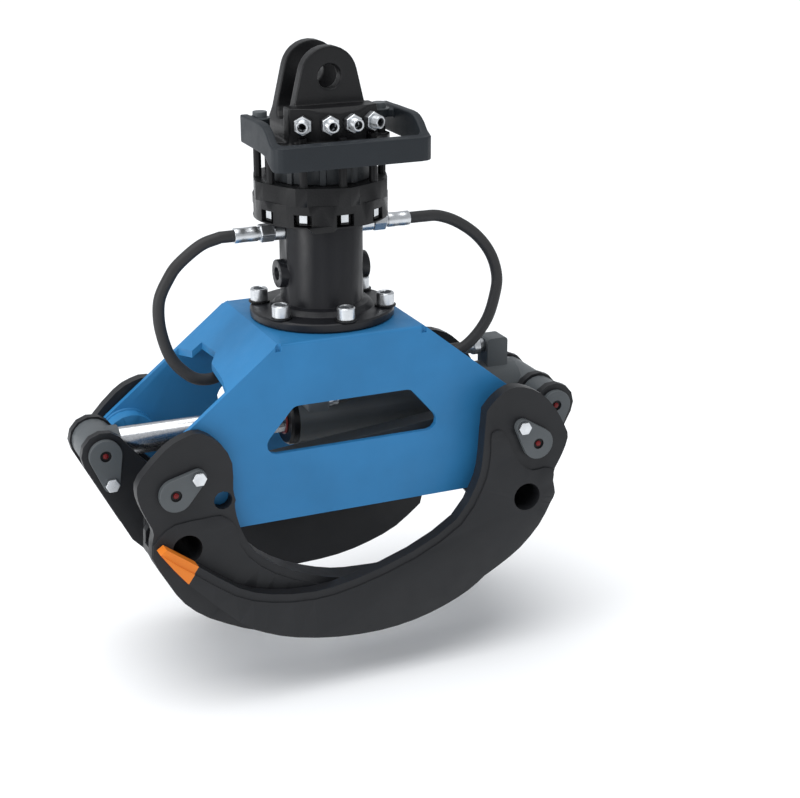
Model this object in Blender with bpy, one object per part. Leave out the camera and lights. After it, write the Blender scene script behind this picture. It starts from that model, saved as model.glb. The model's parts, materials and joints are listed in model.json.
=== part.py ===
"""Timber grapple: rotator, folded frame and two hydraulic claws, closed.

The claws hang on pivots in a folded steel frame.  One lying cylinder joins
their upper levers and a tie rod keeps them together.  The frame turns on a
rotator, whose forked head hangs from a pin.

X runs along the frame, -Y is the front, Z is up.  Sizes are in millimetres.
Heights are given over the frame's top face and moved at the end, so that the
origin lies at the centre of the link pin's bore.
"""
import math

import bmesh
import bpy
from mathutils import Matrix, Vector

MM = 0.001
GAP = 0.3

# Heights over the frame's top face
LINK_HEIGHT = 325.0
SHAFT_TOP = 138.0
BAND_TOP = 168.0
RING_TOP = 191.0
DECK_BOTTOM = 236.0
DECK_TOP = 246.0

# Link head
LINK_BORE_R = 16.0
EAR_R = 39.0
EAR_INNER = 22.0
EAR_OUTER = 40.0
FORK_FLOOR = 268.0
DECK_R = 78.0
TIE_BOLT_CIRCLE_R = 82.0
TIE_BOLT_R = 5.5
TIE_BOLT_COUNT = 10
TIE_BOLT_PHASE = 18.0
GUARD_POSTS = ((-84.0, -7.0), (83.0, -5.0))
GUARD_POST_R = 8.5
GUARD_TAB_BOTTOM = 262.0
GUARD_TAB_TOP = 272.0
ADAPTER_HEIGHT = DECK_TOP + 24.0
ADAPTER_STUB_R = 7.0
PORT_BLOCK_TOP = ADAPTER_HEIGHT + 20.0
PORT_FACETS = ((-61.0, -53.0), (-29.0, -68.5), (2.0, -72.0), (31.0, -69.5), (58.0, -59.0))

# Rotator
FLANGE_R = 98.0
FLANGE_T = 13.0
COLLAR_R = 64.0
SHAFT_R = 56.0
SPIGOT_R = 40.0
FLANGE_BOLT_CIRCLE_R = 86.5
FLANGE_BOLT_R = 8.0
FLANGE_BOLT_COUNT = 6
HOSE_PORT_HEIGHT = 119.5
BAND_R = 90.0
SCALLOP_R = 93.0
SCALLOP_DEPTH = 5.0
SCALLOP_COUNT = 8
SCALLOP_PHASE = 4.0
MOTOR_R = 70.0
SHAFT_FLAT = 53.5
RING_PORT_HEIGHT = 62.0
FITTING_STUB_R = 8.0

# Frame, folded from plate
PLATE_T = 8.0
FRAME_HALF_WIDTH = 109.0
FRAME_INNER = FRAME_HALF_WIDTH - PLATE_T
TOP_HALF_LENGTH = 103.0
FRAME_BOTTOM = -245.0
BOTTOM_HALF_LENGTH = 188.0
LUG_R = 42.0
HUB_R = 38.0
HUB_FRONT = 11.0 - FRAME_INNER

# Pivots of the claws, and the pins of the cylinder on their levers
PIVOT = (254.0, -175.0)
LEVER_PIN = (316.0, -150.0)
CROSS_TUBE = (241.0, -254.0)
TIE_PIN = (190.0, -194.5)
PIVOT_PIN_R = 17.0
LEVER_PIN_R = 15.0
CROSS_TUBE_R = 26.0
CROSS_HOLE_R = 20.0
LEVER_EYE_R = 31.0
LEVER_ROOT_R = 50.0
LEVER_T = 12.0
TIE_LUG_R = 26.0

# Claw plates: inner and outer face, from the middle of the frame
DOUBLER_T = 2.5
PLAY = 2.0
LEFT_PLATE = (FRAME_HALF_WIDTH + PLAY, FRAME_HALF_WIDTH + PLAY + 16.5)
RIGHT_PLATE = (LEFT_PLATE[1] + DOUBLER_T + PLAY, LEFT_PLATE[1] + DOUBLER_T + PLAY + 18.0)
THICK_ARM_INNER = FRAME_INNER - PLATE_T
THICK_ARM_TOP = -250.0
RIM = 11.0
ACCESS_HOLE_R = 12.5

# Retaining flags of the pins
FLAG_T = 8.0
FLAG_R = 22.0
FLAG_END_R = 11.0
FLAG_BOLT_R = 5.0
FLAG_REACH = 36.0
LEVER_FLAG_REACH = 41.0
LEVER_FLAG_ANGLE = -98.0
GREASE_RECESS_R = 7.5
GREASE_RECESS_DEPTH = 3.0

# Cylinder and tie rod
CYLINDER_Y = 18.0
BARREL_R = 40.0
CYLINDER_BORE_R = BARREL_R - 10.0
GLAND_X = -42.0
BORE_END_X = 262.0
BARREL_EYE_R = 27.5
ROD_R = 20.0
ROD_EYE_R = 28.0
ROD_EYE_W = 54.0
TIE_EYE_R = 27.0
BLOCK_PORT_Z = -84.5
GLAND_PORT = (-30.0, -114.0)

# Inner plates of the levers: the front face of each and what it carries
FRONT_LEVER = 14.0 - FRAME_INNER
BARREL_LEVERS = (CYLINDER_Y - BARREL_R - PLAY - LEVER_T, CYLINDER_Y + BARREL_R + PLAY)
ROD_LEVERS = (CYLINDER_Y - ROD_EYE_W / 2 - GAP - LEVER_T, CYLINDER_Y + ROD_EYE_W / 2 + GAP)
LEVER_PLATES = {
    "claw_right": ((FRONT_LEVER, "flag"), (BARREL_LEVERS[0], "pin"), (BARREL_LEVERS[1], "pin")),
    "claw_left": ((FRONT_LEVER, "lug"), (ROD_LEVERS[0], "flag and lug"), (ROD_LEVERS[1], "pin")),
}
HUB_REAR = BARREL_LEVERS[1] + LEVER_T + 4.0
TIE_EYE_Y = (FRONT_LEVER + LEVER_T + GAP, BARREL_LEVERS[0] - GAP)
TIE_ROD_Y = (TIE_EYE_Y[0] + 4.7, TIE_EYE_Y[1] - 4.7)
TIE_ROD_HEIGHT = 30.0

HOSE_R = 8.0
HOSE_STEP = 36.0
LEFT_HOSE = (
    (-123.0, 0.0, 119.5), (-141.0, 0.0, 119.5), (-168.0, 0.0, 111.5), (-198.7, 0.0, 89.5),
    (-213.4, 0.0, 71.0), (-225.7, 0.0, 46.8), (-228.4, 0.0, 21.3), (-225.0, 0.0, -5.0),
    (-217.0, -3.0, -32.0), (-203.0, -7.0, -52.0), (-184.0, -11.0, -66.0),
    (-160.0, -9.0, -69.0), (-136.0, 2.0, -63.0), (-112.0, 22.0, -56.5), (-90.0, 45.0, -58.0),
    (-66.0, 66.0, -68.0), (-40.0, 80.0, -82.0), (-10.0, 88.0, -93.0), (22.0, 88.0, -99.0),
    (50.0, 81.0, -99.0), (69.6, 70.6, -90.4), (78.0, 64.0, -85.0))
RIGHT_HOSE = (
    (128.3, 0.0, 119.5), (148.0, 0.0, 119.5), (173.0, 0.0, 118.0), (201.0, -4.0, 107.0),
    (229.0, -8.0, 86.0), (249.0, -12.0, 58.0), (257.0, -16.0, 27.0), (252.0, -20.0, 0.0),
    (239.0, -24.0, -31.0), (217.0, -28.0, -55.0), (194.0, -30.0, -69.0), (166.0, -30.0, -76.0),
    (140.0, -30.0, -71.0), (121.0, -30.0, -66.0), (109.0, -30.0, -66.0))
BLOCK_HOSE = (
    (78.3, 63.8, -84.8), (86.7, 57.2, -79.4), (104.0, 45.0, -73.0), (130.0, 31.0, -72.0),
    (160.0, 22.0, -77.5), (190.0, 18.5, -83.0), (212.0, 18.0, -84.5), (224.7, 18.0, -84.5))
GLAND_HOSE = (
    (108.6, -30.0, -66.0), (98.0, -30.0, -66.0), (80.0, -30.0, -71.0), (61.0, -30.0, -83.0),
    (44.0, -30.0, -98.0), (28.0, -30.0, -109.5), (17.0, -30.0, -114.0), (8.3, -30.0, -114.0))

BLACK = ("black_paint", (0.028, 0.029, 0.031), 0.0, 0.5)
SLATE = ("slate_casting", (0.03, 0.042, 0.05), 0.0, 0.55)
CHARCOAL = ("charcoal_paint", (0.033, 0.034, 0.037), 0.0, 0.5)
BLUE = ("blue_paint", (0.045, 0.2, 0.43), 0.0, 0.45)
GREY = ("grey_paint", (0.1, 0.12, 0.13), 0.1, 0.5)
ZINC = ("zinc_plate", (0.5, 0.5, 0.5), 1.0, 0.35)
CHROME = ("chrome", (0.7, 0.7, 0.7), 1.0, 0.12)
RUBBER = ("hose_rubber", (0.03, 0.03, 0.03), 0.0, 0.6)


# Outlines

def circle(centre, radius, sides):
    step = 2 * math.pi / sides
    return [(centre[0] + radius * math.cos(step * i), centre[1] + radius * math.sin(step * i))
            for i in range(sides)]


def arc(centre, radius, start, end, steps):
    """Points on an arc, angles in degrees, both ends kept."""
    points = []
    for i in range(steps + 1):
        angle = math.radians(start + (end - start) * i / steps)
        points.append((centre[0] + radius * math.cos(angle), centre[1] + radius * math.sin(angle)))
    return points


def smooth(points, steps=2):
    """Points on a Catmull-Rom curve through the given ones, of any dimension."""
    given = [Vector(p) for p in points]
    line = [given[0] * 2 - given[1], *given, given[-1] * 2 - given[-2]]
    curve = []
    for before, a, b, after in zip(line, line[1:], line[2:], line[3:]):
        for i in range(steps):
            t = i / steps
            curve.append(tuple(0.5 * (2 * a + (b - before) * t
                                      + (2 * before - 5 * a + 4 * b - after) * t ** 2
                                      + (3 * a - before - 3 * b + after) * t ** 3)))
    return [*curve, tuple(given[-1])]


def offset(points, distance):
    """An open line moved sideways, to the left of its direction when positive."""
    moved = []
    for i, point in enumerate(points):
        before = Vector(points[max(i - 1, 0)])
        after = Vector(points[min(i + 1, len(points) - 1)])
        along = (after - before).normalized()
        moved.append((point[0] - along.y * distance, point[1] + along.x * distance))
    return moved


def rounded(corners, radius, steps=3):
    """A convex outline, counter-clockwise, with round corners."""
    outline = []
    for i, corner in enumerate(corners):
        here = Vector(corner)
        edges = (here - Vector(corners[i - 1]), Vector(corners[(i + 1) % len(corners)]) - here)
        first, last = (Vector((edge.y, -edge.x)).normalized() for edge in edges)
        centre = here - (first + last) * radius / (1 + first.dot(last))
        start, end = (math.degrees(math.atan2(normal.y, normal.x)) for normal in (first, last))
        if end < start:
            end += 360
        outline += arc(centre, radius, start, end, steps)
    return outline


def touch(centre, radius, point, side):
    """Angle in degrees at which a tangent from the point touches the circle."""
    away = Vector(point) - Vector(centre)
    return (math.degrees(math.atan2(away.y, away.x))
            + side * math.degrees(math.acos(radius / away.length)))


def link_outline(first, first_r, second, second_r, waist=0.0, steps=6):
    """Two round ends joined by tangents; a waist hollows the side right of the line."""
    away = Vector(second) - Vector(first)
    heading = math.degrees(math.atan2(away.y, away.x))
    spread = math.degrees(math.acos((first_r - second_r) / away.length))
    outline = arc(first, first_r, heading + spread, heading - spread + 360, steps)
    far = arc(second, second_r, heading - spread, heading + spread, steps)
    if waist:
        start = Vector(outline[-1])
        span = Vector(far[0]) - start
        inward = Vector((-span.y, span.x)).normalized() * waist
        for i in range(1, steps):
            t = i / steps
            outline.append(tuple(start + span * t + inward * 4 * t * (1 - t)))
    return outline + far


def mirrored(outline, side):
    return [(side * u, z) for u, z in outline]


# Solids, as meshes in millimetres

def sides_for(radius):
    return 8 if radius < 7 else 12 if radius < 14 else 20 if radius < 45 else 36


def placed(u, v, w, axis):
    """A flat outline's point (u, v) at w along the axis."""
    return {"X": (w, u, v), "Y": (u, w, v), "Z": (u, v, w)}[axis]


def prism(outline, axis, low, high):
    """An outline extruded along an axis."""
    mesh = bmesh.new()
    ends = [[mesh.verts.new(placed(u, v, w, axis)) for u, v in outline] for w in (low, high)]
    for end in ends:
        mesh.faces.new(end)
    for i in range(len(outline)):
        j = (i + 1) % len(outline)
        mesh.faces.new((ends[0][i], ends[0][j], ends[1][j], ends[1][i]))
    bmesh.ops.recalc_face_normals(mesh, faces=mesh.faces)
    return mesh


def turned(profile, axis, centre=(0.0, 0.0), sides=None, hollow=False):
    """A profile of (radius, position) turned round an axis; a hollow one closes on itself."""
    sides = sides or sides_for(max(radius for radius, _ in profile))
    mesh = bmesh.new()
    rings = [[mesh.verts.new(placed(u, v, w, axis)) for u, v in circle(centre, radius, sides)]
             for radius, w in profile]
    pairs = list(zip(rings, rings[1:]))
    if hollow:
        pairs.append((rings[-1], rings[0]))
    else:
        mesh.faces.new(rings[0])
        mesh.faces.new(rings[-1])
    for low, high in pairs:
        for i in range(sides):
            j = (i + 1) % sides
            mesh.faces.new((low[i], low[j], high[j], high[i]))
    bmesh.ops.recalc_face_normals(mesh, faces=mesh.faces)
    return mesh


def rod(radius, axis, centre, low, high, sides=None):
    return turned([(radius, low), (radius, high)], axis, centre, sides)


def tube(outer, inner, axis, centre, low, high):
    return turned([(outer, low), (outer, high), (inner, high), (inner, low)], axis, centre,
                  hollow=True)


def box(x, y, z):
    return prism([(x[0], y[0]), (x[1], y[0]), (x[1], y[1]), (x[0], y[1])], "Z", z[0], z[1])


def swung(mesh, angle, centre=(0.0, 0.0, 0.0), axis="Z"):
    """The mesh turned by degrees about a point."""
    turn = Matrix.Rotation(math.radians(angle), 4, axis)
    bmesh.ops.rotate(mesh, cent=centre, matrix=turn, verts=mesh.verts)
    return mesh


def shifted(mesh, by):
    bmesh.ops.translate(mesh, vec=by, verts=mesh.verts)
    return mesh


# Objects

JOIN = "UNION"
CUT = "DIFFERENCE"
KEEP = "INTERSECT"
ORIGIN = (0.0, 0.0, LINK_HEIGHT)


def world(point):
    return Vector((point[0], point[1], point[2] - LINK_HEIGHT)) * MM


def material(look):
    name, colour, metallic, roughness = look
    made = bpy.data.materials.get(name) or bpy.data.materials.new(name)
    made.use_nodes = True
    shader = made.node_tree.nodes["Principled BSDF"]
    shader.inputs["Base Color"].default_value = (*colour, 1.0)
    shader.inputs["Metallic"].default_value = metallic
    shader.inputs["Roughness"].default_value = roughness
    return made


def add_object(name, mesh, pivot):
    """An object whose origin is at the pivot, from a mesh in millimetres."""
    for vert in mesh.verts:
        vert.co = world(vert.co) - world(pivot)
    data = bpy.data.meshes.new(name)
    mesh.to_mesh(data)
    mesh.free()
    made = bpy.data.objects.new(name, data)
    made.location = world(pivot)
    bpy.context.scene.collection.objects.link(made)
    return made


def solid(name, look, mesh, steps=(), pivot=ORIGIN):
    """One named piece: a mesh, then shapes joined, cut or kept in the order given."""
    piece = add_object(name, mesh, pivot)
    piece.data.materials.append(material(look))
    tools = [(operation, shape) for operation, shapes in steps for shape in shapes]
    for number, (operation, shape) in enumerate(tools):
        tool = add_object(f"{name}_tool_{number}", shape, pivot)
        tool.hide_render = True
        tool.display_type = "WIRE"
        boolean = piece.modifiers.new(tool.name, "BOOLEAN")
        boolean.operation = operation
        boolean.solver = "EXACT"
        boolean.object = tool
    piece.data.shade_smooth()
    piece.data.set_sharp_from_angle(angle=math.radians(35))
    return piece


def hose_points(route):
    """Even points along a smooth curve; both ends of the route stay straight."""
    path = [Vector(point) for point in smooth(route[1:-1], 12)]
    lengths = [0.0]
    for a, b in zip(path, path[1:]):
        lengths.append(lengths[-1] + (b - a).length)
    count = round(lengths[-1] / HOSE_STEP)
    points = [route[0]]
    for i in range(count + 1):
        wanted = lengths[-1] * i / count
        points.append(path[min(range(len(path)), key=lambda n: abs(lengths[n] - wanted))])
    return [*points, route[-1]]


def hose(name, route):
    """A round hose with closed ends."""
    data = bpy.data.curves.new(name, "CURVE")
    data.dimensions = "3D"
    data.bevel_depth = HOSE_R * MM
    data.bevel_resolution = 2
    data.use_fill_caps = True
    data.materials.append(material(RUBBER))
    points = hose_points(route)
    spline = data.splines.new("POLY")
    spline.points.add(len(points) - 1)
    for place, point in zip(spline.points, points):
        place.co = (*world(point), 1.0)
    bpy.context.scene.collection.objects.link(bpy.data.objects.new(name, data))


# Stator: link head, guard, motor and ring

def tie_bolt_angles():
    return [TIE_BOLT_PHASE + i * 360 / TIE_BOLT_COUNT for i in range(TIE_BOLT_COUNT)]


def tie_bolt_places():
    return circle_places(TIE_BOLT_CIRCLE_R, tie_bolt_angles())


def circle_places(radius, angles):
    return [(radius * math.cos(math.radians(a)), radius * math.sin(math.radians(a)))
            for a in angles]


def adapter_places():
    """Middle and heading, in degrees from -Y, of each facet of the port block."""
    places = []
    for a, b in zip(PORT_FACETS, PORT_FACETS[1:]):
        along = Vector(b) - Vector(a)
        middle = (Vector(a) + Vector(b)) / 2
        places.append(((middle.x, middle.y, 0.0), math.degrees(math.atan2(along.y, along.x))))
    return places


def facing(mesh, place, heading):
    """A shape made along -Y at the middle, moved to a facet of the port block."""
    return shifted(swung(mesh, heading), place)


def deck_outline(lobe=11.0, steps=4):
    """A round deck with a lobe round each tie bolt."""
    outline = []
    for angle, place in zip(tie_bolt_angles(), tie_bolt_places()):
        outline += arc(place, lobe, angle - 100, angle + 100, steps)
        outline += circle_places(DECK_R, [angle + 180 / TIE_BOLT_COUNT])
    return outline


def link_head():
    """The casting that hangs on the crane's pin: deck, port block and fork."""
    foot = DECK_TOP - 2
    ear = [(-60.0, foot), (-57.0, 263.0), (-51.0, 279.0)]
    ear += arc((0.0, LINK_HEIGHT), EAR_R, 168, 12, 12)
    ear += [(51.0, 279.0), (57.0, 263.0), (60.0, foot)]
    block = [(-61.0, -30.0), *PORT_FACETS, (58.0, -30.0)]
    joins = [prism(ear, "Y", -EAR_OUTER, EAR_OUTER), prism(block, "Z", foot, PORT_BLOCK_TOP)]
    joins += [rod(GUARD_POST_R, "Z", post, DECK_BOTTOM + 1, GUARD_TAB_BOTTOM - GAP)
              for post in GUARD_POSTS]
    channel = arc((0.0, FORK_FLOOR + EAR_INNER), EAR_INNER, 180, 360, 8)
    channel += [(EAR_INNER, LINK_HEIGHT + 60), (-EAR_INNER, LINK_HEIGHT + 60)]
    bevel = [(-80.0, 274.0), (-62.0, PORT_BLOCK_TOP + 2), (-80.0, PORT_BLOCK_TOP + 2)]
    cuts = [prism(channel, "X", -70.0, 70.0),
            rod(LINK_BORE_R, "Y", (0.0, LINK_HEIGHT), -50.0, 50.0),
            prism(bevel, "X", -70.0, 70.0)]
    cuts += [facing(rod(ADAPTER_STUB_R + GAP, "Y", (0.0, ADAPTER_HEIGHT), -2.0, 12.0), *place)
             for place in adapter_places()]
    cuts += [rod(TIE_BOLT_R + GAP, "Z", place, DECK_BOTTOM - 2, DECK_TOP + 2)
             for place in tie_bolt_places()]
    cuts += [rod(TIE_BOLT_R + 2, "Z", place, DECK_TOP, DECK_TOP + 10)
             for place in tie_bolt_places()[7:9]]
    solid("link_head", BLACK, prism(deck_outline(), "Z", DECK_BOTTOM, DECK_TOP),
          [(JOIN, joins), (CUT, cuts)])


def adapters():
    """Zinc adapters for the crane's hoses, fanned over the port block."""
    middle = (0.0, ADAPTER_HEIGHT)
    for number, place in enumerate(adapter_places(), 1):
        nut = turned([(12.5, -9.5), (12.5, -GAP)], "Y", middle, 6)
        joins = [rod(8.5, "Y", middle, -21.0, -8.0),
                 rod(ADAPTER_STUB_R, "Y", middle, -2.0, 10.0)]
        bore = rod(5.5, "Y", middle, -30.0, 20.0)
        shapes = [facing(mesh, *place) for mesh in (nut, *joins, bore)]
        solid(f"hose_adapter_{number}", ZINC, shapes[0],
              [(JOIN, shapes[1:3]), (CUT, shapes[3:])])


def hose_guard():
    """One casting: a bar in front and two arms that rise to the posts."""
    left, right, front = -104.0, 112.0, -120.0
    left_end, right_end = 14.0, 36.0
    bar_back, arm, corner, inner = -103.0, 11.0, 16.0, 8.0
    plan = arc((left + corner, front + corner), corner, 180, 270, 4)
    plan += arc((right - corner, front + corner), corner, 270, 360, 4)
    plan += [(right, right_end), (right - arm, right_end)]
    plan += arc((right - arm - inner, bar_back + inner), inner, 0, -90, 3)
    plan += arc((left + arm + inner, bar_back + inner), inner, 270, 180, 3)
    plan += [(left + arm, left_end), (left, left_end)]
    profile = [(-130.0, 223.0), (-106.0, 223.0)]
    profile += smooth([(-100.0, 225.0), (-90.0, 230.0), (-78.0, 237.0), (-60.0, 239.0)])
    profile += [(40.0, 240.0), (40.0, 275.0)]
    profile += smooth([(-56.0, 277.0), (-72.0, 275.0), (-86.0, 268.0), (-97.0, 258.0),
                       (-106.0, 254.0)])
    profile += [(-130.0, 254.0)]
    joins = []
    for post, wall in zip(GUARD_POSTS, (left + arm / 2, right - arm / 2)):
        joins.append(box(sorted((post[0], wall)),
                         (post[1] - GUARD_POST_R, post[1] + GUARD_POST_R),
                         (GUARD_TAB_BOTTOM, GUARD_TAB_TOP)))
        joins.append(rod(13.0, "Z", post, GUARD_TAB_BOTTOM, GUARD_TAB_TOP + 0.5))
        joins.append(rod(9.0, "Z", post, GUARD_TAB_TOP - 1, GUARD_TAB_TOP + 9))
    solid("hose_guard", SLATE, prism(plan, "Z", 210.0, 290.0),
          [(KEEP, [prism(profile, "X", -140.0, 140.0)]), (JOIN, joins)])


def motor_body():
    """Cylindrical body with an upright rib between each two tie bolts."""
    rib, half_width = 3.0, 4.0
    outline = []
    for angle in [36 * i for i in range(10)]:
        outline += circle_places(MOTOR_R, [angle - half_width])
        outline += circle_places(MOTOR_R + rib, [angle - half_width + 1, angle + half_width - 1])
        outline += circle_places(MOTOR_R, [angle + half_width, angle + 13, angle + 23])
    solid("motor_body", GREY, prism(outline, "Z", RING_TOP + GAP, DECK_BOTTOM - GAP))


def scalloped(steps=5):
    """The ring's outline, hollowed between sharp crests."""
    outline = []
    for i in range(SCALLOP_COUNT * steps):
        turn = i / steps
        radius = SCALLOP_R - SCALLOP_DEPTH * abs(math.sin(math.pi * turn))
        angle = math.radians(SCALLOP_PHASE + 360 * turn / SCALLOP_COUNT)
        outline.append((radius * math.cos(angle), radius * math.sin(angle)))
    return outline


def stator_ring():
    """The ring, its band with nut pockets, and the long tie bolts it carries."""
    tab = [(-50.0, SHAFT_TOP + 4), (-43.0, SHAFT_TOP - 4), (-15.0, SHAFT_TOP - 4),
           (-8.0, SHAFT_TOP + 4)]
    joins = [prism(scalloped(), "Z", BAND_TOP - 1, RING_TOP), prism(tab, "Y", -88.0, -74.0)]
    joins += [rod(TIE_BOLT_R, "Z", place, RING_TOP - 1, DECK_TOP + 8)
              for place in tie_bolt_places()]
    pockets = [rod(SPIGOT_R + 2 * GAP, "Z", (0.0, 0.0), SHAFT_TOP - 20, 156.0)]
    pockets += [swung(box((76.0, 110.0), (-12.0, 12.0), (140.0, 156.0)), angle)
                for angle in tie_bolt_angles()]
    nuts = [swung(box((74.0, 86.5), (-5.5, 5.5), (142.0, 158.0)), angle)
            for angle in tie_bolt_angles()]
    solid("stator_ring", BLACK, rod(BAND_R, "Z", (0.0, 0.0), SHAFT_TOP + GAP, BAND_TOP),
          [(JOIN, joins), (CUT, pockets), (JOIN, nuts)])


# Rotor: shaft, frame and hoses

def flange_bolt_places():
    return circle_places(FLANGE_BOLT_CIRCLE_R,
                         [-30 + i * 360 / FLANGE_BOLT_COUNT for i in range(FLANGE_BOLT_COUNT)])


def rotor_shaft():
    """Flange, collar and shaft with its hose ports, and a spigot into the ring."""
    profile = [(FLANGE_R - 2, GAP), (FLANGE_R, 2 + GAP), (FLANGE_R, FLANGE_T - 2),
               (FLANGE_R - 2, FLANGE_T), (COLLAR_R + 6, FLANGE_T), (COLLAR_R, 20.0),
               (SHAFT_R, 22.0), (SHAFT_R, SHAFT_TOP), (SPIGOT_R, SHAFT_TOP), (SPIGOT_R, 154.0)]
    flats = [box(sorted((side * SHAFT_FLAT, side * 80)), (-26.0, 26.0), (24.0, 132.0))
             for side in (-1, 1)]
    ports = []
    for side in (-1, 1):
        ports.append(rod(9.0, "X", (0.0, RING_PORT_HEIGHT), *sorted((side * 50, side * 70))))
        ports.append(rod(FITTING_STUB_R + GAP, "X", (0.0, HOSE_PORT_HEIGHT),
                         *sorted((side * 40, side * 70))))
    holes = [rod(FLANGE_BOLT_R + GAP, "Z", place, -5.0, FLANGE_T + 5)
             for place in flange_bolt_places()]
    solid("rotor_shaft", BLACK, turned(profile, "Z"),
          [(CUT, flats), (JOIN, [rod(19.0, "X", (0.0, RING_PORT_HEIGHT), -64.0, 64.0)]),
           (CUT, ports + holes)])


def flange_bolts():
    seat = FLANGE_T + GAP
    for number, place in enumerate(flange_bolt_places(), 1):
        head = turned([(14.5, seat), (14.5, seat + 2.5), (12.0, seat + 2.5),
                       (12.0, seat + 18.0), (11.0, seat + 19.0)], "Z", place, 12)
        shank = rod(FLANGE_BOLT_R, "Z", place, -PLATE_T - 4, seat + 1)
        socket = turned([(8.0, seat + 10.0), (8.0, seat + 30.0)], "Z", place, 6)
        solid(f"flange_bolt_{number}", ZINC, head, [(JOIN, [shank]), (CUT, [socket])])


def frame_outline():
    """Side view: top, slopes, round lugs at the pivots and a flat bottom."""
    upper = touch(PIVOT, LUG_R, (TOP_HALF_LENGTH, 0.0), -1)
    lower = touch(PIVOT, LUG_R, (BOTTOM_HALF_LENGTH, FRAME_BOTTOM), 1)
    half = [(TOP_HALF_LENGTH, 0.0), *arc(PIVOT, LUG_R, upper, lower, 10),
            (BOTTOM_HALF_LENGTH, FRAME_BOTTOM)]
    return half + [(-x, z) for x, z in reversed(half)]


def frame_cavity(depth):
    """The inside of the folded top and slopes, open below."""
    slope = math.radians(90 - touch(PIVOT, LUG_R, (TOP_HALF_LENGTH, 0.0), -1))
    bend = TOP_HALF_LENGTH - PLATE_T * math.tan(slope / 2)
    reach = bend + (depth - PLATE_T) / math.tan(slope)
    return [(-bend, -PLATE_T), (bend, -PLATE_T), (reach, -depth), (-reach, -depth)]


def frame_edge(side, radius=4.0):
    """What the fold takes off the long edge of the top."""
    edge = side * FRAME_HALF_WIDTH
    corner = [(edge - side * radius * (1 - math.cos(a)), -radius * (1 - math.sin(a)))
              for a in (math.radians(22.5 * i) for i in range(5))]
    return [(edge + side, -radius), *corner, (edge - side * radius, 1.0), (edge + side, 1.0)]


def frame():
    """Top, sloped ends and sides of one folded plate, with pivot hubs inside."""
    depth, wide = 300.0, FRAME_HALF_WIDTH + 5
    left_end = [(-340.0, -FRAME_INNER), (-172.0, -FRAME_INNER), (-166.0, -64.0),
                (-162.0, -9.0), (-151.0, 6.0), (-153.0, 61.0), (-167.0, 63.0),
                (-175.0, FRAME_INNER), (-340.0, FRAME_INNER)]
    right_end = [(340.0, -FRAME_INNER), (172.0, -FRAME_INNER), (165.0, -12.0),
                 (118.0, -8.0), (118.0, 63.0), (165.0, 66.0), (175.0, FRAME_INNER),
                 (340.0, FRAME_INNER)]
    slot = rounded([(-138.0, -150.0), (138.0, -150.0), (83.0, -87.0), (-83.0, -87.0)], 13.5, 4)
    cuts = [prism(frame_cavity(depth), "Y", -FRAME_INNER, FRAME_INNER),
            prism(left_end, "Z", -depth, 20.0),
            prism(right_end, "Z", -depth, 20.0),
            prism(slot, "Y", -wide, wide)]
    for side in (-1, 1):
        cuts.append(prism(frame_edge(side), "X", 4 - TOP_HALF_LENGTH, TOP_HALF_LENGTH - 4))
        cuts += [rod(4.0, "Z", (end * TOP_HALF_LENGTH, side * FRAME_HALF_WIDTH), -10.0, 5.0)
                 for end in (-1, 1)]
    hubs = []
    bores = [rod(FLANGE_BOLT_R + GAP, "Z", place, -20.0, 5.0) for place in flange_bolt_places()]
    for side in (-1, 1):
        pivot = (side * PIVOT[0], PIVOT[1])
        hubs.append(rod(HUB_R, "Y", pivot, HUB_REAR, FRAME_INNER + 2))
        hubs.append(rod(HUB_R, "Y", pivot, -FRAME_INNER - 2, HUB_FRONT))
        bores.append(rod(PIVOT_PIN_R + GAP, "Y", pivot, -wide, wide))
    solid("frame", BLUE, prism(frame_outline(), "Y", -FRAME_HALF_WIDTH, FRAME_HALF_WIDTH),
          [(CUT, cuts), (JOIN, hubs), (CUT, bores)])


def rotor_fittings():
    """Adapter, nut and crimped ferrule of each hose at the shaft, as they are screwed up."""
    sizes = {"left": (-1, 69.0, 90.0, 122.7), "right": (1, 74.0, 95.0, 128.0)}
    middle = (0.0, HOSE_PORT_HEIGHT)
    for name, (side, nut, ferrule, end) in sizes.items():
        base = turned([(FITTING_STUB_R, 42.0), (FITTING_STUB_R, SHAFT_FLAT + GAP),
                       (11.5, SHAFT_FLAT + GAP), (11.5, nut - 1), (13.0, nut), (13.0, ferrule - 3),
                       (10.0, ferrule), (10.0, end)], "X", middle, 12)
        if side < 0:
            base = swung(base, 180)
        solid(f"hose_fitting_{name}", ZINC, base)


# Claws

def claw_pivot(claw):
    return (claw["side"] * PIVOT[0], 0.0, PIVOT[1])


def belly(claw):
    """Inner edge of the claw from its tip to the neck."""
    return smooth(claw["belly"])


def back(claw):
    """Outer edge from the heel to the tip, with a cusp where the arm sets in."""
    return smooth(claw["heel"])[:-1] + smooth(claw["arm"])


def claw_outline(claw):
    return belly(claw) + smooth(claw["head"])[1:-1] + back(claw)


def doubler_outline(claw):
    """The arm's raised face: it leaves a rim along the belly and stops under the pivot."""
    crown = claw["crown"]
    tip = claw["belly"][0][0] + RIM + 2
    rim = [point for point in offset(belly(claw), -RIM)
           if point[0] > tip and point[1] < crown[0][1] - 6]
    spine = [point for point in offset(back(claw), -0.8) if point[1] < crown[-1][1]]
    return rim + smooth(crown) + spine


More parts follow.
